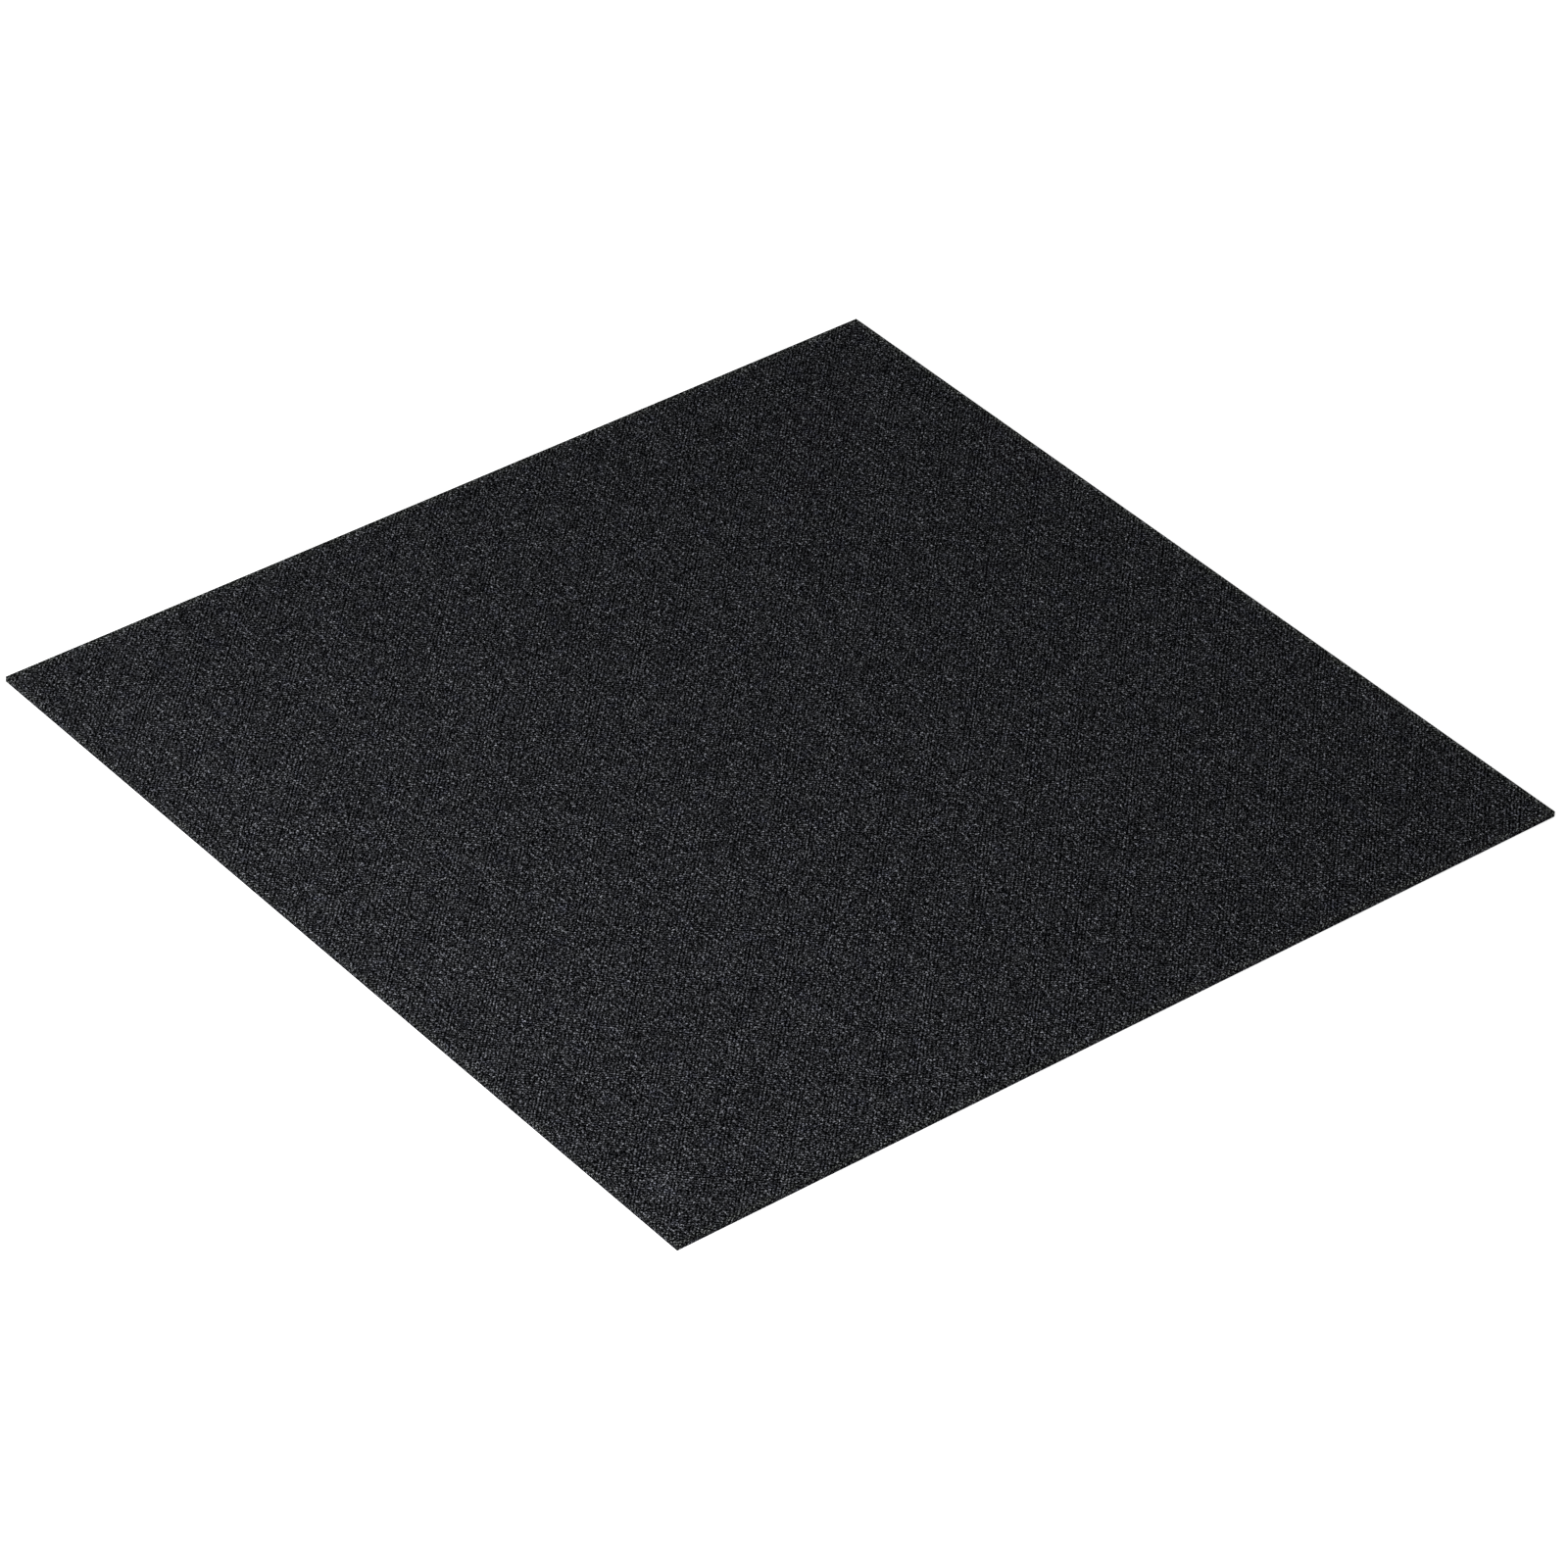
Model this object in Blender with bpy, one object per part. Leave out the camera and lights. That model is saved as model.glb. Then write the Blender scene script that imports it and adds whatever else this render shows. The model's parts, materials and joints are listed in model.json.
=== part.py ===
"""A needle-felt carpet tile, lying face up on the floor.

The tile is one sheet of punched felt, knife-cut to a square. X runs along the needle
rows and Y across them. The origin is the middle of the underside, and +Z is the pile side.
Sizes are in metres.
"""

import bmesh
import bpy
from mathutils import Matrix, Vector

# The sheet
TILE_WIDTH = 0.500
TILE_LENGTH = 0.500
TILE_THICKNESS = 0.0032

# The knife pulls the fibres down as it cuts, which rounds the rim of the pile side
RIM_RADIUS = 0.0006
RIM_SEGMENTS = 4

# Charcoal felt with a slight blue cast, as linear red, green and blue
FELT_COLOUR = (0.022, 0.023, 0.026, 1.0)
FELT_ROUGHNESS = 0.95


def clear_scene():
    for leftover in list(bpy.data.objects):
        bpy.data.objects.remove(leftover, do_unlink=True)


def felt_material():
    material = bpy.data.materials.new("charcoal_felt")
    material.use_nodes = True
    shader = material.node_tree.nodes["Principled BSDF"]
    shader.inputs["Base Color"].default_value = FELT_COLOUR
    shader.inputs["Roughness"].default_value = FELT_ROUGHNESS
    shader.inputs["Metallic"].default_value = 0.0
    material.diffuse_color = FELT_COLOUR
    return material


def cut_sheet(width, length, thickness):
    """A square-cut block of felt that stands on Z = 0, centred on the Z axis."""
    sheet = bmesh.new()
    centre = Vector((0.0, 0.0, thickness / 2))
    block = Matrix.LocRotScale(centre, None, Vector((width, length, thickness)))
    bmesh.ops.create_cube(sheet, size=1.0, matrix=block)
    return sheet


def round_top_rim(sheet, radius, segments):
    """Rounds the four edges round the uppermost face."""
    top_face = max(sheet.faces, key=lambda face: face.calc_center_median().z)
    bmesh.ops.bevel(
        sheet,
        geom=list(top_face.edges),
        affect="EDGES",
        offset=radius,
        offset_type="OFFSET",
        segments=segments,
        profile=0.5,
        clamp_overlap=True,
        material=-1,
    )


def make_carpet_tile():
    sheet = cut_sheet(TILE_WIDTH, TILE_LENGTH, TILE_THICKNESS)
    round_top_rim(sheet, RIM_RADIUS, RIM_SEGMENTS)
    mesh = bpy.data.meshes.new("carpet_tile")
    sheet.to_mesh(mesh)
    sheet.free()
    mesh.materials.append(felt_material())
    tile = bpy.data.objects.new("carpet_tile", mesh)
    bpy.context.scene.collection.objects.link(tile)
    return tile


clear_scene()
make_carpet_tile()
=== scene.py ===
"""A needle-felt carpet tile: its sheet, the dyed fibres of its face, its cut edges and the stage.

The sheet replaces the plain slab of the CAD model. Each of the four fibre stocks that the
felt is blended from is one piece, laid over the sheet's needle sites. X runs along the
needle rows, and sizes are in metres.
"""

import json
import math

import bmesh
import bpy
import numpy as np
from bpy.props import FloatProperty, FloatVectorProperty, IntProperty, PointerProperty
from mathutils import Euler, Matrix, Vector, noise

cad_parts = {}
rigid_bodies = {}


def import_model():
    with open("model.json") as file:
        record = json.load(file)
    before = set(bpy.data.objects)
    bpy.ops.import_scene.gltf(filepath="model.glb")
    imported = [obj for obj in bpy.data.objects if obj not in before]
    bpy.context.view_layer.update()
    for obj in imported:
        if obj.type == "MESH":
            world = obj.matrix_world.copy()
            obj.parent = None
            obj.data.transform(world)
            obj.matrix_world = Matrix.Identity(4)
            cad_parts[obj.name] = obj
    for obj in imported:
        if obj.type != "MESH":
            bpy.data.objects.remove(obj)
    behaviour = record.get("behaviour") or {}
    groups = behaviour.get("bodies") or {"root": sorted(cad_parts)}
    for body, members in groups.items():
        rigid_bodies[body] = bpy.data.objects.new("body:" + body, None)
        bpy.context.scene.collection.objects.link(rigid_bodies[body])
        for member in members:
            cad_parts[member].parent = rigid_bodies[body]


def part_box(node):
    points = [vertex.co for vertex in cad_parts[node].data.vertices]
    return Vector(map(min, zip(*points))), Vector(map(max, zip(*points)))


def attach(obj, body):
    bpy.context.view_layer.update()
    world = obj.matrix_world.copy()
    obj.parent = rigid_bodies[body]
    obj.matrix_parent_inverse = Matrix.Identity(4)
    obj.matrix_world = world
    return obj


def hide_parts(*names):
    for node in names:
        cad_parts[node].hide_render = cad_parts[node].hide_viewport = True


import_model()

bl_info = {
    "name": "Needle-felt carpet tile",
    "version": (1, 0, 0),
    "blender": (4, 5, 0),
    "location": "View3D > Sidebar > Carpet tile",
    "description": "Builds a needle-punched felt tile round its CAD slab",
    "category": "Add Mesh",
}

NODE = "carpet_tile"
BODY = "root"
CAD_LOW, CAD_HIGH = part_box(NODE)
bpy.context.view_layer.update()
TILE_WIDTH = CAD_HIGH[0] - CAD_LOW[0]
TILE_LENGTH = CAD_HIGH[1] - CAD_LOW[1]
TILE_THICKNESS = CAD_HIGH[2] - CAD_LOW[2]
MM = 0.001

# The fibre stocks of the blend: name, colour and seed. Each stock has a bundle at SITE_SHARE of
# the needle sites, picked from VARIANT_COUNT forms.
STOCKS = (
    ("black_fibres", "black", 11),
    ("charcoal_fibres", "charcoal", 23),
    ("grey_fibres", "grey", 37),
    ("silver_fibres", "silver", 41),
)
SITE_SHARE = 0.325
VARIANT_COUNT = 8
CUT_END_SEED = 59

# How far the bundles of the face keep from its cut edges, and the cut ends from the floor and
# from the top of the rim
FACE_MARGIN = 0.9 * MM
CUT_END_LEVEL = 1.0 * MM
CUT_END_DROP = 0.3 * MM

# Steps of the sheet's face along X and to each needle row, and the verts between two seams of
# its underside
FACE_COLUMNS = 272
STEPS_PER_ROW = 2
UNDERSIDE_STEP = 12

# Distances below NEARLY_NONE count as none when verts are told apart by their place, and a seam
# of the underside takes in the verts that lie within SEAM_REACH of it
NEARLY_NONE = 1e-6
SEAM_REACH = 1e-5

# In the map of the felt, a part of the face is laid level if its normal points up by at least
# LEVEL_NORMAL and no cut edge is within RIM_BAND. The unit square keeps MAP_MARGIN free.
LEVEL_NORMAL = 0.985
RIM_BAND = 1.0 * MM
MAP_MARGIN = 0.5 * MM

# Each bundle has its own square cell in the bake map of its piece: cells along each side of the
# map, and how much of a cell the bundle fills
STOCK_CELLS = 104
CUT_END_CELLS = 56
CELL_FILL = 0.8

# Noise steps per metre
LUMP_SCALE = 160.0
TUFT_SCALE = 620.0
UNDERLAY_SCALE = 900.0
SHADE_SCALE = 1400.0
FIBRE_SCALE = 9000.0
CLOUD_SCALE = 120.0
TINT_SCALE = 110.0
RUB_SCALE = 300.0

# Bundles drawn on the sheet, the lower layer first: spacing, length, width, level.
# The last two are single fibres that stray over the bundles.
BUNDLES = (
    (1.0 * MM, 1.3 * MM, 0.8 * MM, 0.1),
    (1.1 * MM, 1.0 * MM, 0.7 * MM, 0.3),
    (1.9 * MM, 2.2 * MM, 0.10 * MM, 0.3),
    (1.5 * MM, 1.9 * MM, 0.08 * MM, 0.5),
)

# The middle of the patch that is rubbed lighter, near the corner of +X and -Y, and its radius
RUBBED_PLACE = (0.2170, -0.2300)
RUBBED_RADIUS = 8.0 * MM

# Painted light near the rim of each cut edge lifts the cut sides out of their shade and lightens
# the far rims, and makes them less blue: axis, side, reach, strength
EDGE_LIGHT_TINT = (1.75, 1.80, 1.52)
EDGE_LIGHT_FADES = (
    (0, 1, 2.5 * MM, 0.65),
    (0, -1, 6.0 * MM, 1.0),
    (1, 1, 6.0 * MM, 1.0),
    (1, -1, 2.0 * MM, 0.4),
)

WHITE = (1.0, 1.0, 1.0, 1.0)

# The floor lies this far under the sheet, so the two never share a plane
FLOOR_DROP = 0.05 * MM
FLOOR_REACH = 6.0
LAMP_PLACE = (0.10, -0.66, 0.46)
LAMP_TARGET = (0.0, -0.05, 0.0)
LAMP_WIDTH, LAMP_HEIGHT = 0.8, 0.3
CAMERA_PLACE = (2.09317, -1.72178, 2.01461)
CAMERA_DEGREES = (53.0933, -1.376, 51.4877)


class FeltSheetSettings(bpy.types.PropertyGroup):
    row_pitch: FloatProperty(
        name="Row pitch",
        description="Distance from one needle row to the next",
        default=3.067 * MM,
        unit="LENGTH",
    )
    column_pitch: FloatProperty(
        name="Needle pitch",
        description="Distance between needle sites along a row",
        default=2.577 * MM,
        unit="LENGTH",
    )
    rim_radius: FloatProperty(
        name="Rim radius",
        description="How round the knife leaves the upper edge",
        default=0.6 * MM,
        unit="LENGTH",
    )
    groove_depth: FloatProperty(
        name="Groove depth",
        description="Depth of the furrow between two needle rows",
        default=0.12 * MM,
        unit="LENGTH",
    )
    lumpiness: FloatProperty(
        name="Lumpiness",
        description="How far the face rises and falls from place to place",
        default=0.10 * MM,
        unit="LENGTH",
    )
    # The dark gaps set by the next two settings are painted shade between the bundles
    gap_spacing: FloatProperty(
        name="Gap spacing",
        description="Distance from one dark gap between the bundles to the next",
        default=1.2 * MM,
        unit="LENGTH",
    )
    gap_radius: FloatProperty(
        name="Gap radius",
        description="How far a dark gap reaches from its middle",
        default=0.58 * MM,
        unit="LENGTH",
    )


class FibreSettings(bpy.types.PropertyGroup):
    length: FloatProperty(
        name="Length",
        description="Length of the visible part of a fibre bundle",
        default=1.3 * MM,
        unit="LENGTH",
    )
    thickness: FloatProperty(
        name="Thickness",
        description="Thickness of a fibre bundle at its middle",
        default=0.42 * MM,
        unit="LENGTH",
    )
    scatter: FloatProperty(
        name="Scatter",
        description="How far a bundle lies from its needle site",
        default=1.5 * MM,
        unit="LENGTH",
    )
    edge_count: IntProperty(
        name="Cut ends",
        description="About how many fibre ends stand out of the four cut edges",
        default=2400,
        min=0,
    )
    black: FloatVectorProperty(
        name="Black",
        description="Colour of the black stock",
        default=(0.0008, 0.0008, 0.0010),
        subtype="COLOR",
    )
    charcoal: FloatVectorProperty(
        name="Charcoal",
        description="Colour of the charcoal stock",
        default=(0.0163, 0.0167, 0.0183),
        subtype="COLOR",
    )
    grey: FloatVectorProperty(
        name="Grey",
        description="Colour of the grey stock",
        default=(0.0566, 0.0579, 0.0633),
        subtype="COLOR",
    )
    silver: FloatVectorProperty(
        name="Silver",
        description="Colour of the silver stock",
        default=(0.256, 0.263, 0.288),
        subtype="COLOR",
    )
    # Painted shade deep between the bundles, together with black fibres
    gap: FloatVectorProperty(
        name="Gap",
        description="Colour deep between the bundles, where little light comes back",
        default=(0.0005, 0.0006, 0.0008),
        subtype="COLOR",
    )


class StageSettings(bpy.types.PropertyGroup):
    floor_colour: FloatVectorProperty(
        name="Floor",
        description="Colour of the floor",
        default=(0.90, 0.90, 0.90),
        subtype="COLOR",
    )
    floor_glow: FloatProperty(
        name="Floor glow",
        description="How much light the floor gives itself, which keeps it clear of shadows",
        default=0.5,
    )
    sky: FloatProperty(
        name="Sky light",
        description="Strength of the even light from all round",
        default=0.65,
    )
    key: FloatProperty(
        name="Key light",
        description="Power of the soft box in front of the tile",
        default=6.9,
        unit="POWER",
    )
    lens: FloatProperty(
        name="Lens",
        description="Focal length of the camera, in millimetres",
        default=170.96,
    )


class Signal:
    """A node's output that can be reckoned with: a sum on it adds a Math node."""

    def __init__(self, recipe, socket):
        self.recipe = recipe
        self.socket = socket

    def other(self, name):
        """Another output of the same node."""
        return Signal(self.recipe, self.socket.node.outputs[name])

    def math(self, operation, *values):
        inputs = dict(enumerate(values))
        return self.recipe.node("ShaderNodeMath", {"operation": operation}, inputs)

    def __add__(self, value):
        return self.math("ADD", self, value)

    def __radd__(self, value):
        return self.math("ADD", value, self)

    def __sub__(self, value):
        return self.math("SUBTRACT", self, value)

    def __rsub__(self, value):
        return self.math("SUBTRACT", value, self)

    def __mul__(self, value):
        return self.math("MULTIPLY", self, value)

    def __rmul__(self, value):
        return self.math("MULTIPLY", value, self)

    def __truediv__(self, value):
        return self.math("DIVIDE", self, value)

    def __mod__(self, value):
        return self.math("FLOORED_MODULO", self, value)

    def __floordiv__(self, value):
        return self.math("FLOOR", self.math("DIVIDE", self, value))

    def __pow__(self, value):
        return self.math("POWER", self, value)

    def __gt__(self, value):
        return self.math("GREATER_THAN", self, value)

    def __lt__(self, value):
        return self.math("LESS_THAN", self, value)


class Recipe:
    """Adds nodes to a tree, of a material or of geometry nodes."""

    def __init__(self, tree):
        self.tree = tree
        tree.nodes.clear()

    def node(self, kind, settings=None, inputs=None, output=0):
        """A node of this kind, as the Signal of one output. Its settings come first."""
        made = self.tree.nodes.new(kind)
        for name, value in (settings or {}).items():
            if name == "stops":
                self.set_stops(made.color_ramp, value)
            else:
                setattr(made, name, value)
        for name, value in (inputs or {}).items():
            if isinstance(value, Signal):
                self.tree.links.new(value.socket, made.inputs[name])
            else:
                made.inputs[name].default_value = value
        return Signal(self, made.outputs[output]) if made.outputs else made

    @staticmethod
    def set_stops(ramp, stops):
        while len(ramp.elements) > 1:
            ramp.elements.remove(ramp.elements[-1])
        for place, (position, colour) in enumerate(stops):
            stop = ramp.elements[0] if place == 0 else ramp.elements.new(position)
            stop.position = position
            stop.color = (*colour, 1.0)

    def vector(self, operation, *values):
        return self.node(
            "ShaderNodeVectorMath", {"operation": operation}, dict(enumerate(values))
        )

    def stretch(self, vector, factors):
        return self.vector("MULTIPLY", vector, factors)

    def scale(self, vector, factor):
        inputs = {0: vector, "Scale": factor}
        return self.node("ShaderNodeVectorMath", {"operation": "SCALE"}, inputs)

    def split(self, vector):
        parts = self.node("ShaderNodeSeparateXYZ", inputs={0: vector})
        return parts, parts.other("Y"), parts.other("Z")

    def blend(self, factor, first, second):
        """The first colour where factor is 0 and the second where it is 1."""
        return self.node(
            "ShaderNodeMix",
            {"data_type": "RGBA", "clamp_factor": True},
            {0: factor, 6: first, 7: second},
            output=2,
        )

    def noise(self, place, scale, detail=2.0, roughness=0.5):
        inputs = {"Vector": place, "Scale": scale, "Detail": detail, "Roughness": roughness}
        return self.node("ShaderNodeTexNoise", inputs=inputs)


def new_material(name):
    material = bpy.data.materials.new(name)
    material.use_nodes = True
    return material, Recipe(material.node_tree)


def finish_material(recipe, colour, roughness, normal, specular=0.0):
    """The shader and the output. Felt scatters light evenly, so it has no mirror part."""
    shader = recipe.node(
        "ShaderNodeBsdfPrincipled",
        inputs={
            "Base Color": colour,
            "Roughness": roughness,
            "Normal": normal,
            "Specular IOR Level": specular,
        },
    )
    recipe.node("ShaderNodeOutputMaterial", inputs={"Surface": shader})


def bundle_layer(recipe, place, spacing, length, width, seed):
    """Short fibre bundles strewn on a surface: how high they rise, their tone and their fibres."""
    moved = recipe.vector(
        "ADD", recipe.stretch(place, (1 / spacing,) * 3), (seed * 7.31, seed * 3.77, 0.0)
    )
    cell = recipe.node(
        "ShaderNodeTexVoronoi",
        {"voronoi_dimensions": "2D", "feature": "F1"},
        {"Vector": moved, "Scale": 1.0, "Randomness": 0.75},
        output="Position",
    )
    turn, bend, own = recipe.split(cell.other("Color"))
    # Dark and light bundles alternate from cell to cell, so a light one seldom touches another
    column, rank, _ = recipe.split(cell)
    light = (column.math("FLOOR", column) + rank.math("FLOOR", rank)) % 2.0
    tone = own * 0.3 + light * 0.7
    turned = recipe.node(
        "ShaderNodeVectorRotate",
        {"rotation_type": "Z_AXIS"},
        {"Vector": recipe.vector("SUBTRACT", moved, cell), "Angle": turn * (4 * math.pi)},
    )
    along, across, _ = recipe.split(turned)
    bent = across + (bend - 0.5) * along * along * 1.2
    strands = recipe.noise(recipe.stretch(turned, (1.3, 11.0, 0.0)), 1.0, 2.0)
    # The single fibres of a bundle end at different places, which frays it
    end = along * (2 * spacing / length) * (0.4 + strands * 1.2)
    side = bent * (2 * spacing / width)
    body = 1.0 - side * side - end * end * end * end
    return body.math("MAXIMUM", body, 0.0) ** 0.5, tone, strands


def needle_row_shade(recipe, x, y, settings):
    """Painted shade and light along and between the needle rows: the furrows darker, the ridges
    lighter, 0.8 on the average.
    """
    turn = y * (2 * math.pi / settings.row_pitch)
    step = x * (2 * math.pi / settings.column_pitch)
    row = turn.math("COSINE", turn) * 0.24
    groove = turn.math("COSINE", turn * 2.0) * 0.04
    return row - groove + step.math("COSINE", step) * 0.11 + 0.8


def gap_shade(recipe, place, settings):
    """Painted shade between the bundles: 1 on the fibres, down to 0 deep between them."""
    cell = recipe.node(
        "ShaderNodeTexVoronoi",
        {"voronoi_dimensions": "2D", "feature": "F1"},
        {"Vector": place, "Scale": 1 / settings.gap_spacing, "Randomness": 0.6},
        output="Distance",
    )
    own, _, _ = recipe.split(cell.other("Color"))
    inside = (1.0 - cell * (settings.gap_spacing / settings.gap_radius)) * 2.0
    inside = inside.math("MAXIMUM", inside.math("MINIMUM", inside, 1.0), 0.0)
    return 1.0 - inside * (own * 0.4 + 0.6)


def painted_edge_light(recipe, x, y):
    """Painted light and a less blue tint on the felt, strongest on the rim of each cut edge."""
    edge_lit = 0.0
    for axis, side, reach, strength in EDGE_LIGHT_FADES:
        across = (x, y)[axis] * side - (TILE_WIDTH, TILE_LENGTH)[axis] / 2
        here = (1.0 - across.math("ABSOLUTE", across) / reach) * strength
        edge_lit = here.math("MAXIMUM", here, edge_lit)
    return recipe.blend(edge_lit, WHITE, (*EDGE_LIGHT_TINT, 1.0))


def rubbed_patch(recipe, place, x, y):
    """How much lighter the felt is where something rubbed it, near one corner."""
    dx, dy = x - RUBBED_PLACE[0], y - RUBBED_PLACE[1]
    ragged = recipe.noise(place, RUB_SCALE, 2.0) * 0.5
    far = (dx * dx + dy * dy) ** 0.5 / RUBBED_RADIUS + ragged
    rubbed = far.math("MINIMUM", far.math("MAXIMUM", 1.5 - far, 0.0), 0.75)
    return rubbed * 0.9 + 1.0


def felt_material(settings, fibres):
    """The felt of the sheet: layers of drawn bundles over an underlay, the highest one showing,
    with painted shade where the face is low, between the bundles and in the furrows.
    """
    material, recipe = new_material("charcoal_felt_sheet")
    place = recipe.node("ShaderNodeUVMap", {"uv_map": "felt_uv"})
    x, y, _ = recipe.split(place)
    top = recipe.noise(place, UNDERLAY_SCALE, 3.0, 0.6) * 0.2
    tone = recipe.noise(place, SHADE_SCALE, 2.0) * 0.25
    lines = recipe.noise(place, FIBRE_SCALE, 1.0)
    for seed, (spacing, length, width, low) in enumerate(BUNDLES):
        rise, own_tone, strands = bundle_layer(recipe, place, spacing, length, width, seed + 1.0)
        height = rise * 0.5 + low * (rise > 0.05) + (strands - 0.5) * rise * 0.3
        covers = height > top
        tone = tone + covers * (own_tone + (strands - 0.5) * 0.3 - tone)
        lines = lines + covers * (strands - lines)
        top = top.math("MAXIMUM", top, height)
    cloud = recipe.noise(place, CLOUD_SCALE, 2.0)
    # Painted shade: darker where the top layer is low and between its single fibres, with a faint
    # cloud of tone
    shade_and_tone = (top * 2.0 + (cloud - 0.5) * 0.10 - 0.54) * (lines * 2.0)
    lit = shade_and_tone * gap_shade(recipe, place, settings) * needle_row_shade(recipe, x, y, settings)
    stocks = recipe.node(
        "ShaderNodeValToRGB",
        {
            "stops": (
                (0.45, fibres.black),
                (0.55, fibres.charcoal),
                (0.80, fibres.grey),
                (1.00, fibres.silver),
            )
        },
        {"Fac": tone},
    )
    drift = recipe.noise(recipe.vector("ADD", place, (4.0, 2.0, 0.0)), TINT_SCALE, 1.0)
    tint = recipe.node(
        "ShaderNodeValToRGB",
        {
            "stops": (
                (0.30, (1.00, 1.00, 0.97)),
                (0.45, (1.00, 1.00, 1.00)),
                (0.60, (1.00, 1.00, 1.02)),
                (0.72, (0.98, 0.99, 1.10)),
            )
        },
        {"Fac": drift},
    )
    # The gap colour is painted shade deep between the bundles, together with black fibres
    colour = recipe.blend(lit, (*fibres.gap, 1.0), recipe.vector("MULTIPLY", stocks, tint))
    # Painted light on the cut sides and their rims
    colour = recipe.vector("MULTIPLY", colour, painted_edge_light(recipe, x, y))
    colour = recipe.scale(colour, rubbed_patch(recipe, place, x, y))
    bump = recipe.node(
        "ShaderNodeBump",
        inputs={"Height": top, "Strength": 0.7, "Distance": 0.35 * MM},
    )
    finish_material(recipe, colour, 0.8 + top * 0.18, bump)
    return material


def stock_material(name, colour):
    """One dyed stock: each bundle has its own tone, with painted shade and light between its
    single fibres.
    """
    material, recipe = new_material(name)
    tone = recipe.node(
        "ShaderNodeAttribute",
        {"attribute_name": "tone", "attribute_type": "GEOMETRY"},
        output="Fac",
    )
    strands = recipe.node("ShaderNodeUVMap", {"uv_map": "lock_uv"})
    lines = recipe.noise(recipe.stretch(strands, (9.0, 1.3, 0.0)), 1.0, 2.0)
    shade_and_tone = (tone - 0.5) * 0.9 + (lines - 0.5) * 1.8 + 1.0
    shaded = recipe.scale(tuple(colour), shade_and_tone)
    bump = recipe.node(
        "ShaderNodeBump", inputs={"Height": lines, "Strength": 0.5, "Distance": 0.08 * MM}
    )
    finish_material(recipe, shaded, 0.75 + lines * 0.2, bump)
    return material


def link(name, mesh, material):
    piece = bpy.data.objects.new(name, mesh)
    bpy.context.scene.collection.objects.link(piece)
    mesh.materials.clear()
    mesh.materials.append(material)
    return piece


def face_relief(settings, x, y):
    """Height of the felt face over its mean level: needle rows, lumps and single tufts."""
    row = math.cos(2 * math.pi * y / settings.row_pitch)
    column = math.cos(2 * math.pi * x / settings.column_pitch)
    lumps = noise.noise(Vector((x * LUMP_SCALE, y * LUMP_SCALE, 3.1)))
    tufts = noise.noise(Vector((x * TUFT_SCALE, y * TUFT_SCALE, 9.7)))
    rise = 0.5 * settings.groove_depth * (row + 0.25 * column)
    return rise + settings.lumpiness * (0.5 * lumps + tufts)


def place_of(vert):
    return vert.co[:]


def corner_numbers(part):
    return sorted(vert.index for vert in part.verts)


def put_in_order(mesh):
    """Sorts and numbers the parts of a mesh by place.

    Some operators leave them in another order on each run, and the points that are strewn on
    the mesh would follow it.
    """
    sorts = ((mesh.verts, place_of), (mesh.edges, corner_numbers), (mesh.faces, corner_numbers))
    for parts, key in sorts:
        rank = {part: number for number, part in enumerate(sorted(parts, key=key))}
        parts.sort(key=rank.get)
        parts.index_update()


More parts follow.
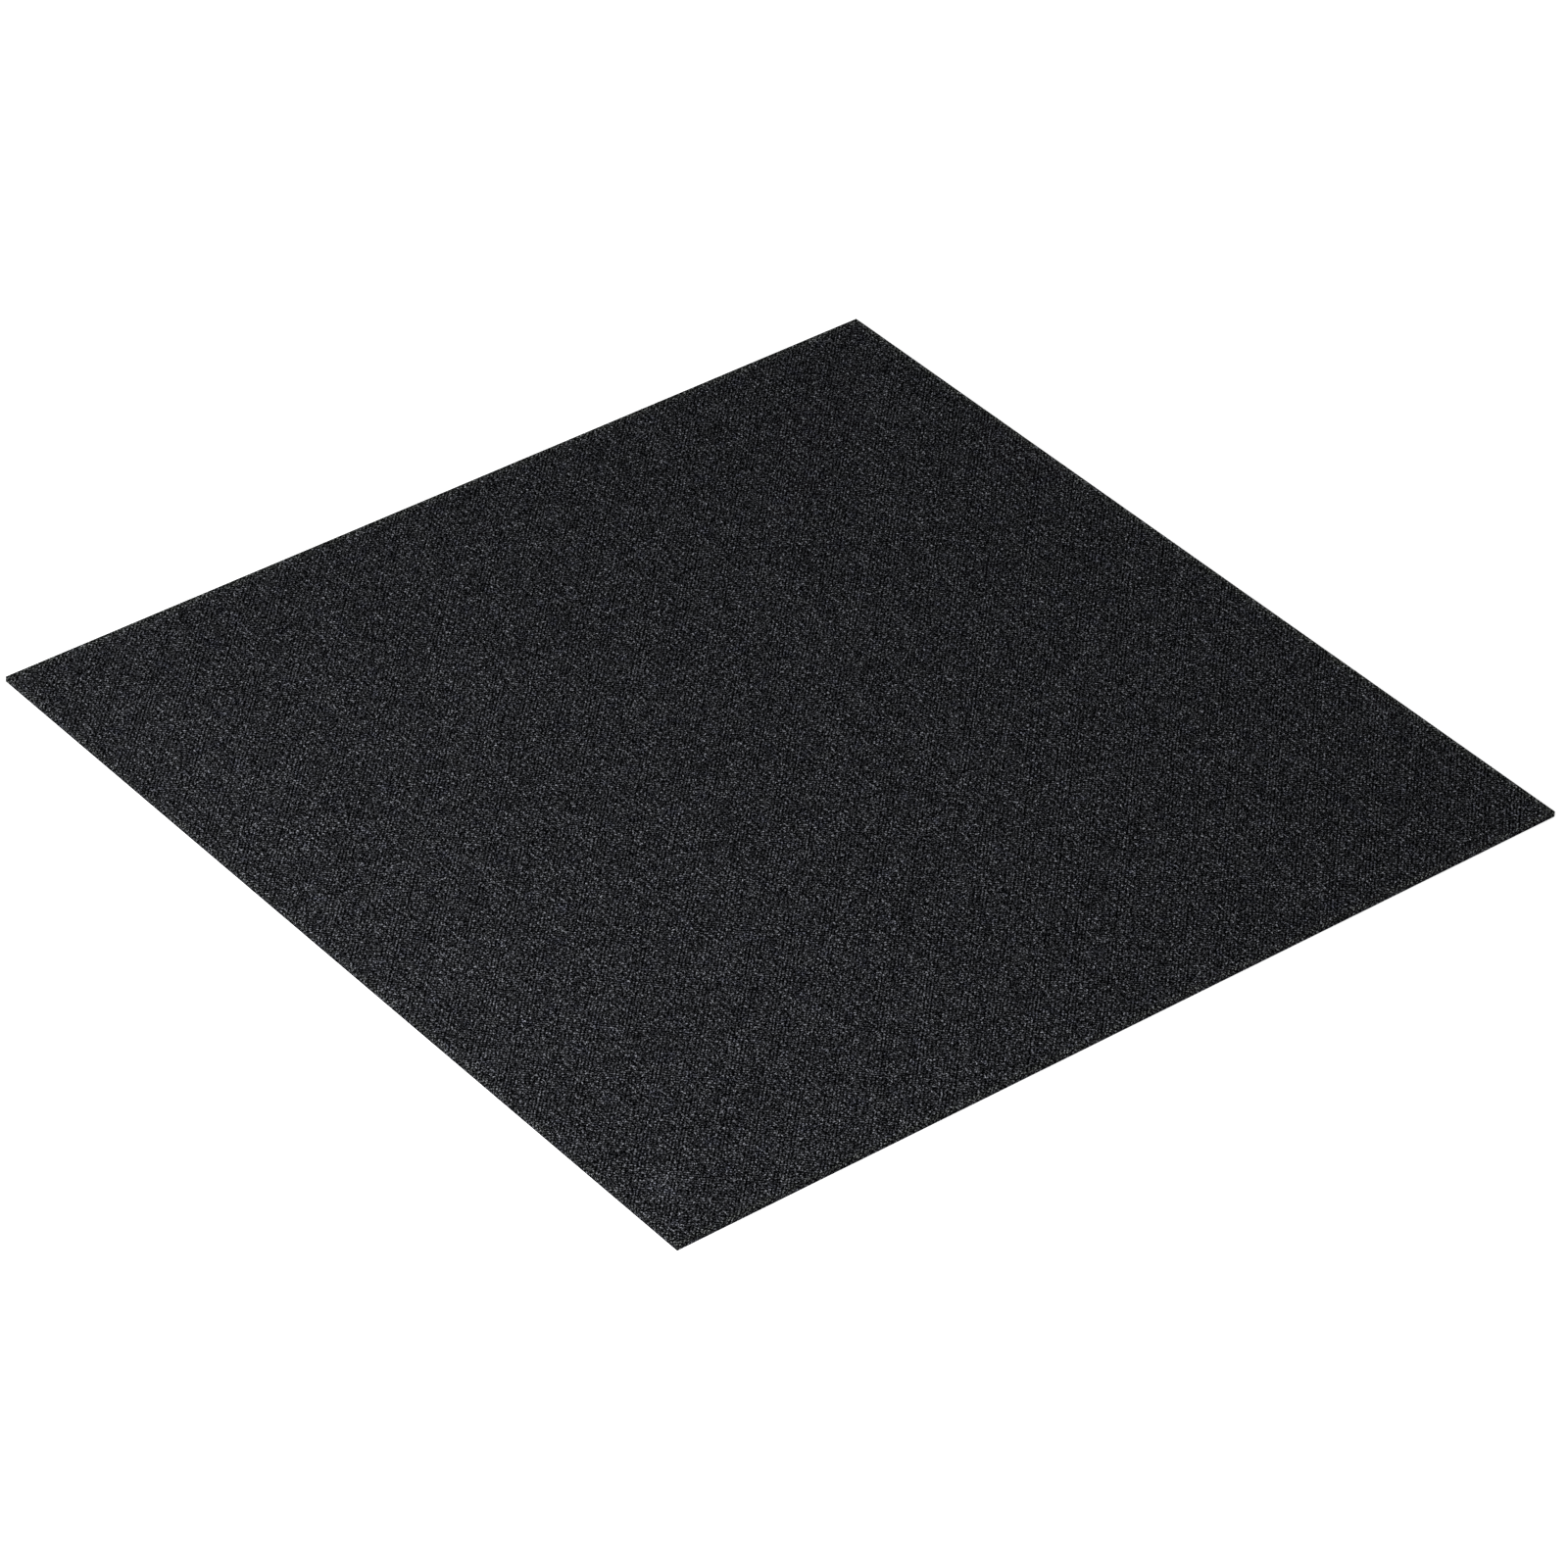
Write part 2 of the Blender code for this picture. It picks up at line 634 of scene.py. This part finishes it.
def felt_sheet_mesh(settings):
    """A closed slab. Its face is a fine grid, and the rim, edges and underside grow from it."""
    rim = settings.rim_radius
    face_width = TILE_WIDTH - 2 * rim
    face_length = TILE_LENGTH - 2 * rim
    rows = STEPS_PER_ROW * round(TILE_LENGTH / settings.row_pitch)
    sheet = bmesh.new()
    size = Matrix.Diagonal((face_width / 2, face_length / 2, 1.0, 1.0))
    middle = Vector(((CAD_LOW[0] + CAD_HIGH[0]) / 2, (CAD_LOW[1] + CAD_HIGH[1]) / 2, 0.0))
    place = Matrix.Translation(middle + Vector((0.0, 0.0, CAD_HIGH[2]))) @ size
    bmesh.ops.create_grid(
        sheet, x_segments=FACE_COLUMNS, y_segments=rows, size=1.0, matrix=place
    )
    corner = Vector((face_width / 2, face_length / 2))
    steps = [(math.sin(a) * rim, rim - math.cos(a) * rim) for a in np.radians((30, 60, 90))]
    steps += [(rim, 0.5 * TILE_THICKNESS), (rim, 0.8 * TILE_THICKNESS), (rim, TILE_THICKNESS)]
    ring = [edge for edge in sheet.edges if edge.is_boundary]
    out, down = 0.0, 0.0
    for new_out, new_down in steps:
        grown = bmesh.ops.extrude_edge_only(sheet, edges=ring)["geom"]
        ring = [part for part in grown if isinstance(part, bmesh.types.BMEdge)]
        ring = [edge for edge in ring if edge.is_boundary]
        for vert in [part for part in grown if isinstance(part, bmesh.types.BMVert)]:
            here = vert.co - middle
            for axis in (0, 1):
                if abs(here[axis]) >= corner[axis] - NEARLY_NONE:
                    vert.co[axis] += math.copysign(new_out - out, here[axis])
            vert.co.z -= new_down - down
        out, down = new_out, new_down
    put_in_order(sheet)
    ring = [edge for edge in sheet.edges if edge.is_boundary]
    for edge in ring:
        edge.smooth = False
    underside = bmesh.ops.contextual_create(sheet, geom=ring)["faces"]
    for axis in (0, 1):
        levels = sorted({round(vert.co[axis], 7) for edge in ring for vert in edge.verts})
        for level in levels[UNDERSIDE_STEP:-UNDERSIDE_STEP:UNDERSIDE_STEP]:
            normal = Vector((axis == 0, axis == 1, 0.0))
            point = normal * level
            parts = [part for face in underside for part in (face, *face.edges, *face.verts)]
            # A dict keeps the order, which a set would not, so each run gives the same mesh
            geom = list(dict.fromkeys(parts))
            bmesh.ops.bisect_plane(
                sheet, geom=geom, dist=SEAM_REACH, plane_co=point, plane_no=normal
            )
            underside = [
                face
                for face in sheet.faces
                if all(vert.co.z < CAD_LOW[2] + NEARLY_NONE for vert in face.verts)
            ]
    for vert in sheet.verts:
        if vert.co.z > CAD_HIGH[2] - NEARLY_NONE:
            vert.co.z += face_relief(settings, vert.co.x, vert.co.y)
    bmesh.ops.recalc_face_normals(sheet, faces=list(sheet.faces))
    lay_felt_uv(sheet, middle)
    for face in sheet.faces:
        face.smooth = True
    mesh = bpy.data.meshes.new("felt_sheet")
    sheet.to_mesh(mesh)
    sheet.free()
    return mesh


def lay_felt_uv(sheet, middle):
    """Unfolds the felt, in metres: the edges continue the face outwards, as if pressed flat.

    The underside is laid as the face is, because the needles go right through. OFBake is the
    same map brought into the unit square.
    """
    layer = sheet.loops.layers.uv.new("felt_uv")
    bake = sheet.loops.layers.uv.new("OFBake")
    half = Vector((TILE_WIDTH / 2, TILE_LENGTH / 2))
    reach = max(half) + TILE_THICKNESS + MAP_MARGIN
    for face in sheet.faces:
        centre = face.calc_center_median() - middle
        gap = [half[axis] - abs(centre[axis]) for axis in (0, 1)]
        side = 0 if gap[0] < gap[1] else 1
        upper = face.normal.z > LEVEL_NORMAL and min(gap) > RIM_BAND
        level = upper or face.normal.z < -LEVEL_NORMAL
        for loop in face.loops:
            here = loop.vert.co - middle
            flat = Vector((here.x, here.y))
            if not level:
                flat[side] += math.copysign(CAD_HIGH[2] - loop.vert.co.z, centre[side])
            loop[layer].uv = flat
            loop[bake].uv = (flat + Vector((reach, reach))) / (2 * reach)


def lock_mesh(name, seed, settings):
    """One fibre bundle: a spindle drawn out along X, arched up and bent sideways."""
    draw = np.random.default_rng(seed)
    rise = draw.uniform(0.25, 0.5) * MM
    swerve = draw.uniform(-0.55, 0.55) * MM
    curl = draw.uniform(-0.25, 0.25) * MM
    half_length = settings.length / 2 * draw.uniform(0.75, 1.15)
    radius = settings.thickness / 2 * draw.uniform(0.8, 1.15)
    lock = bmesh.new()
    along_x = Matrix.Rotation(math.pi / 2, 4, "Y")
    bmesh.ops.create_uvsphere(lock, u_segments=3, v_segments=4, radius=1.0, matrix=along_x)
    put_in_order(lock)
    layer = lock.loops.layers.uv.new("lock_uv")
    for face in lock.faces:
        facing = math.atan2(*face.calc_center_median().yz)
        for loop in face.loops:
            across = loop.vert.co.yz
            around = math.atan2(*across) if across.length > 0.01 else facing
            turn = facing % (2 * math.pi) + math.remainder(around - facing, 2 * math.pi)
            loop[layer].uv = (0.2 + 0.6 * turn / (2 * math.pi), (loop.vert.co.x + 1) / 2)
    for vert in lock.verts:
        along = vert.co.x
        bow = 1 - along * along
        vert.co.x = along * half_length
        vert.co.y = vert.co.y * radius + swerve * (bow - 0.5) + curl * along
        vert.co.z = vert.co.z * radius * 0.85 + rise * (bow - 0.55)
    bmesh.ops.recalc_face_normals(lock, faces=list(lock.faces))
    for face in lock.faces:
        face.smooth = True
    mesh = bpy.data.meshes.new(name)
    lock.to_mesh(mesh)
    lock.free()
    return mesh


def lock_collection(name, seed, settings):
    """The variants that a stock's bundles are picked from. They are removed when it is laid."""
    variants = bpy.data.collections.new(name)
    bpy.context.scene.collection.children.link(variants)
    for number in range(VARIANT_COUNT):
        mesh = lock_mesh(f"{name}_{number}", seed * 100 + number, settings)
        variants.objects.link(bpy.data.objects.new(f"{name}_{number}", mesh))
    return variants


def remove_collection(variants):
    for variant in list(variants.objects):
        mesh = variant.data
        bpy.data.objects.remove(variant, do_unlink=True)
        bpy.data.meshes.remove(mesh)
    bpy.data.collections.remove(variants)


def random_value(recipe, kind, low, high, seed):
    """A random number or vector for each point."""
    first = {"FLOAT_VECTOR": 0, "FLOAT": 2, "INT": 4}[kind]
    inputs = {first: low, first + 1: high, "Seed": seed}
    return recipe.node(
        "FunctionNodeRandomValue",
        {"data_type": kind},
        inputs,
        output={"FLOAT_VECTOR": 0, "FLOAT": 1, "INT": 2}[kind],
    )


def store(recipe, geometry, name, kind, domain, value):
    return recipe.node(
        "GeometryNodeStoreNamedAttribute",
        {"data_type": kind, "domain": domain},
        {"Geometry": geometry, "Name": name, "Value": value},
    )


def lay_instances(recipe, points, variants, rotation, scale, seed, grid):
    """A bundle on each point, made real, with its tone and its own cell of the bake map.

    grid is the number of cells along each side of that map.
    """
    bundles = recipe.node(
        "GeometryNodeCollectionInfo",
        inputs={"Collection": variants, "Separate Children": True, "Reset Children": True},
    )
    laid = recipe.node(
        "GeometryNodeInstanceOnPoints",
        inputs={
            "Points": points,
            "Instance": bundles,
            "Pick Instance": True,
            "Instance Index": random_value(recipe, "INT", 0, 999, seed + 1),
            "Rotation": rotation,
            "Scale": scale,
        },
    )
    tone = random_value(recipe, "FLOAT", 0.0, 1.0, seed + 2)
    toned = store(recipe, laid, "tone", "FLOAT", "INSTANCE", tone)
    index = recipe.node("GeometryNodeInputIndex")
    cell = recipe.node("ShaderNodeCombineXYZ", inputs={"X": index % grid, "Y": index // grid})
    celled = store(recipe, toned, "cell", "FLOAT_VECTOR", "INSTANCE", cell)
    real = recipe.node("GeometryNodeRealizeInstances", inputs={"Geometry": celled})
    cell_read = recipe.node(
        "GeometryNodeInputNamedAttribute", {"data_type": "FLOAT_VECTOR"}, {"Name": "cell"}
    )
    uv_read = recipe.node(
        "GeometryNodeInputNamedAttribute", {"data_type": "FLOAT_VECTOR"}, {"Name": "lock_uv"}
    )
    fill, edge = (CELL_FILL, CELL_FILL, 0.0), ((1 - CELL_FILL) / 2, (1 - CELL_FILL) / 2, 0.0)
    inside = recipe.vector("MULTIPLY_ADD", uv_read, fill, edge)
    spot = recipe.scale(recipe.vector("ADD", cell_read, inside), 1 / grid)
    return store(recipe, real, "OFBake", "FLOAT2", "CORNER", spot)


def geometry_recipe(name):
    tree = bpy.data.node_groups.new(name, "GeometryNodeTree")
    tree.interface.new_socket("Geometry", in_out="OUTPUT", socket_type="NodeSocketGeometry")
    return tree, Recipe(tree)


def realise(name, tree):
    """The mesh that a geometry node tree makes."""
    carrier = bpy.data.objects.new(name, bpy.data.meshes.new(name))
    bpy.context.scene.collection.objects.link(carrier)
    carrier.modifiers.new(name, "NODES").node_group = tree
    graph = bpy.context.evaluated_depsgraph_get()
    mesh = bpy.data.meshes.new_from_object(
        carrier.evaluated_get(graph), preserve_all_data_layers=True, depsgraph=graph
    )
    empty = carrier.data
    bpy.data.objects.remove(carrier, do_unlink=True)
    bpy.data.meshes.remove(empty)
    bpy.data.node_groups.remove(tree)
    # These only served to make the mesh
    for spent in ("cell", "id", "felt_uv"):
        if spent in mesh.attributes:
            mesh.attributes.remove(mesh.attributes[spent])
    mesh.name = name
    return mesh


def spin_on_face(recipe, seed):
    """A random turn about the upright, with a slight lean."""
    lean = random_value(
        recipe, "FLOAT_VECTOR", (-0.30, -0.25, 0.0), (0.30, 0.25, 2 * math.pi), seed
    )
    return recipe.node("FunctionNodeEulerToRotation", inputs={0: lean})


def lay_stock(name, seed, sheet, settings, fibres):
    """A stock's bundles, scattered about the needle sites of the face."""
    tree, recipe = geometry_recipe(name)
    variants = lock_collection(name + "_variants", seed, fibres)
    columns = round(TILE_WIDTH / settings.column_pitch)
    rows = round(TILE_LENGTH / settings.row_pitch)
    sites = recipe.node(
        "GeometryNodeMeshGrid",
        inputs={
            "Size X": TILE_WIDTH - settings.column_pitch,
            "Size Y": TILE_LENGTH - settings.row_pitch,
            "Vertices X": columns,
            "Vertices Y": rows,
        },
    )
    reach = fibres.scatter
    scatter = recipe.vector(
        "ADD",
        random_value(recipe, "FLOAT_VECTOR", (-reach,) * 3, (reach,) * 3, seed),
        random_value(recipe, "FLOAT_VECTOR", (-reach,) * 3, (reach,) * 3, seed + 5),
    )
    flat = recipe.stretch(scatter, (0.5, 0.5, 0.0))
    high = recipe.vector("ADD", flat, (0.0, 0.0, CAD_HIGH[2] + 2 * MM))
    moved = recipe.node("GeometryNodeSetPosition", inputs={"Geometry": sites, "Offset": high})
    points = recipe.node("GeometryNodeMeshToPoints", inputs={"Mesh": moved})
    x, y, _ = recipe.split(recipe.node("GeometryNodeInputPosition"))
    outside_x = x.math("ABSOLUTE", x) > TILE_WIDTH / 2 - FACE_MARGIN
    outside_y = y.math("ABSOLUTE", y) > TILE_LENGTH / 2 - FACE_MARGIN
    unused = random_value(recipe, "FLOAT", 0.0, 1.0, seed + 3) > SITE_SHARE
    dropped = outside_x + outside_y + unused > 0.5
    kept = recipe.node(
        "GeometryNodeDeleteGeometry",
        {"domain": "POINT"},
        {"Geometry": points, "Selection": dropped},
    )
    target = recipe.node("GeometryNodeObjectInfo", inputs={"Object": sheet}, output="Geometry")
    hit = recipe.node(
        "GeometryNodeRaycast",
        inputs={
            "Target Geometry": target,
            "Ray Direction": (0.0, 0.0, -1.0),
            "Ray Length": 10 * MM,
        },
        output="Hit Position",
    )
    dropped_on = recipe.node("GeometryNodeSetPosition", inputs={"Geometry": kept, "Position": hit})
    size = random_value(
        recipe, "FLOAT_VECTOR", (0.75, 0.8, 0.7), (1.25, 1.2, 1.3), seed + 4
    )
    made = lay_instances(
        recipe, dropped_on, variants, spin_on_face(recipe, seed + 6), size, seed, STOCK_CELLS
    )
    recipe.node("NodeGroupOutput", inputs={0: made})
    mesh = realise(name, tree)
    remove_collection(variants)
    return mesh


def lay_cut_ends(name, seed, sheet, fibres):
    """Fibre ends that the knife left standing a little out of the four edges."""
    tree, recipe = geometry_recipe(name)
    variants = lock_collection(name + "_variants", seed, fibres)
    target = recipe.node("GeometryNodeObjectInfo", inputs={"Object": sheet}, output="Geometry")
    _, _, up = recipe.split(recipe.node("GeometryNodeInputNormal"))
    _, _, high = recipe.split(recipe.node("GeometryNodeInputPosition"))
    edges = (up.math("ABSOLUTE", up) < 0.4) * (high > CUT_END_LEVEL)
    edge_area = 2 * (TILE_WIDTH + TILE_LENGTH) * (TILE_THICKNESS - CUT_END_LEVEL - CUT_END_DROP)
    points = recipe.node(
        "GeometryNodeDistributePointsOnFaces",
        inputs={
            "Mesh": target,
            "Selection": edges,
            "Density": fibres.edge_count / edge_area,
            "Seed": seed,
        },
    )
    spin = random_value(recipe, "FLOAT_VECTOR", (-0.2, -0.2, -0.5), (0.2, 0.2, 0.5), seed + 6)
    turned = recipe.node(
        "FunctionNodeRotateRotation",
        {"rotation_space": "LOCAL"},
        {
            "Rotation": points.other("Rotation"),
            "Rotate By": recipe.node("FunctionNodeEulerToRotation", inputs={0: spin}),
        },
    )
    size = random_value(recipe, "FLOAT_VECTOR", (0.4, 0.7, 0.35), (0.8, 1.0, 0.55), seed + 4)
    made = lay_instances(recipe, points, variants, turned, size, seed, CUT_END_CELLS)
    recipe.node("NodeGroupOutput", inputs={0: made})
    mesh = realise(name, tree)
    remove_collection(variants)
    return mesh


class CARPET_OT_felt_sheet(bpy.types.Operator):
    """Build the needled sheet, which stands for the CAD slab"""

    bl_idname = "carpet.felt_sheet"
    bl_label = "Felt sheet"

    def execute(self, context):
        settings = context.scene.felt_sheet
        material = felt_material(settings, context.scene.felt_fibres)
        sheet = link("felt_sheet", felt_sheet_mesh(settings), material)
        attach(sheet, BODY)
        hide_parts(NODE)
        return {"FINISHED"}


class CARPET_OT_face_fibres(bpy.types.Operator):
    """Lay the four dyed fibre stocks over the face"""

    bl_idname = "carpet.face_fibres"
    bl_label = "Face fibres"

    def execute(self, context):
        fibres = context.scene.felt_fibres
        sheet = bpy.data.objects["felt_sheet"]
        for name, colour, seed in STOCKS:
            mesh = lay_stock(name, seed, sheet, context.scene.felt_sheet, fibres)
            piece = link(name, mesh, stock_material(name, getattr(fibres, colour)))
            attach(piece, BODY)
        return {"FINISHED"}


class CARPET_OT_cut_ends(bpy.types.Operator):
    """Stand short fibre ends out of the four cut edges"""

    bl_idname = "carpet.cut_ends"
    bl_label = "Cut ends"

    def execute(self, context):
        fibres = context.scene.felt_fibres
        sheet = bpy.data.objects["felt_sheet"]
        mesh = lay_cut_ends("cut_ends", CUT_END_SEED, sheet, fibres)
        piece = link("cut_ends", mesh, stock_material("cut_ends", fibres.charcoal))
        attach(piece, BODY)
        return {"FINISHED"}


class CARPET_OT_stage(bpy.types.Operator):
    """Add the floor, the light and the camera"""

    bl_idname = "carpet.stage"
    bl_label = "Stage"

    def execute(self, context):
        settings = context.scene.felt_stage
        scene = context.scene
        scene.view_settings.view_transform = "Standard"
        plane = bmesh.new()
        bmesh.ops.create_grid(plane, x_segments=1, y_segments=1, size=FLOOR_REACH)
        level = (0.0, 0.0, CAD_LOW[2] - FLOOR_DROP)
        bmesh.ops.translate(plane, verts=list(plane.verts), vec=level)
        mesh = bpy.data.meshes.new("floor")
        plane.to_mesh(mesh)
        plane.free()
        material, recipe = new_material("pale_floor")
        finish_material(
            recipe,
            (*settings.floor_colour, 1.0),
            0.8 + recipe.noise(recipe.node("ShaderNodeTexCoord", output="Object"), 3.0) * 0.1,
            recipe.node("ShaderNodeNewGeometry", output="Normal"),
            0.2,
        )
        shader = material.node_tree.nodes["Principled BSDF"]
        shader.inputs["Emission Color"].default_value = WHITE
        shader.inputs["Emission Strength"].default_value = settings.floor_glow
        link("floor", mesh, material)
        world = bpy.data.worlds.new("studio")
        world.use_nodes = True
        sky = world.node_tree.nodes["Background"]
        sky.inputs["Color"].default_value = WHITE
        sky.inputs["Strength"].default_value = settings.sky
        scene.world = world
        key = bpy.data.lights.new("key", "AREA")
        key.shape = "RECTANGLE"
        key.size, key.size_y = LAMP_WIDTH, LAMP_HEIGHT
        key.energy = settings.key
        lamp = bpy.data.objects.new("key", key)
        lamp.location = LAMP_PLACE
        aim = Vector(LAMP_TARGET) - lamp.location
        lamp.rotation_euler = aim.to_track_quat("-Z", "Y").to_euler()
        scene.collection.objects.link(lamp)
        lens = bpy.data.cameras.new("camera")
        lens.lens = settings.lens
        camera = bpy.data.objects.new("camera", lens)
        camera.location = CAMERA_PLACE
        camera.rotation_euler = Euler([math.radians(angle) for angle in CAMERA_DEGREES])
        scene.collection.objects.link(camera)
        scene.camera = camera
        return {"FINISHED"}


class CARPET_PT_panel(bpy.types.Panel):
    """The tile's operators, in the order in which they run"""

    bl_idname = "CARPET_PT_panel"
    bl_label = "Carpet tile"
    bl_space_type = "VIEW_3D"
    bl_region_type = "UI"
    bl_category = "Carpet tile"

    def draw(self, context):
        for operator in OPERATORS:
            self.layout.operator(operator.bl_idname)


OPERATORS = (
    CARPET_OT_stage,
    CARPET_OT_felt_sheet,
    CARPET_OT_face_fibres,
    CARPET_OT_cut_ends,
)
GROUPS = (
    ("felt_sheet", FeltSheetSettings),
    ("felt_fibres", FibreSettings),
    ("felt_stage", StageSettings),
)


def register():
    for name, group in GROUPS:
        bpy.utils.register_class(group)
        setattr(bpy.types.Scene, name, PointerProperty(type=group))
    for operator in (*OPERATORS, CARPET_PT_panel):
        bpy.utils.register_class(operator)


def unregister():
    for operator in reversed((*OPERATORS, CARPET_PT_panel)):
        bpy.utils.unregister_class(operator)
    for name, group in reversed(GROUPS):
        delattr(bpy.types.Scene, name)
        bpy.utils.unregister_class(group)


def main():
    register()
    bpy.ops.carpet.stage()
    bpy.ops.carpet.felt_sheet()
    bpy.ops.carpet.face_fibres()
    bpy.ops.carpet.cut_ends()


if __name__ == "__main__":
    main()
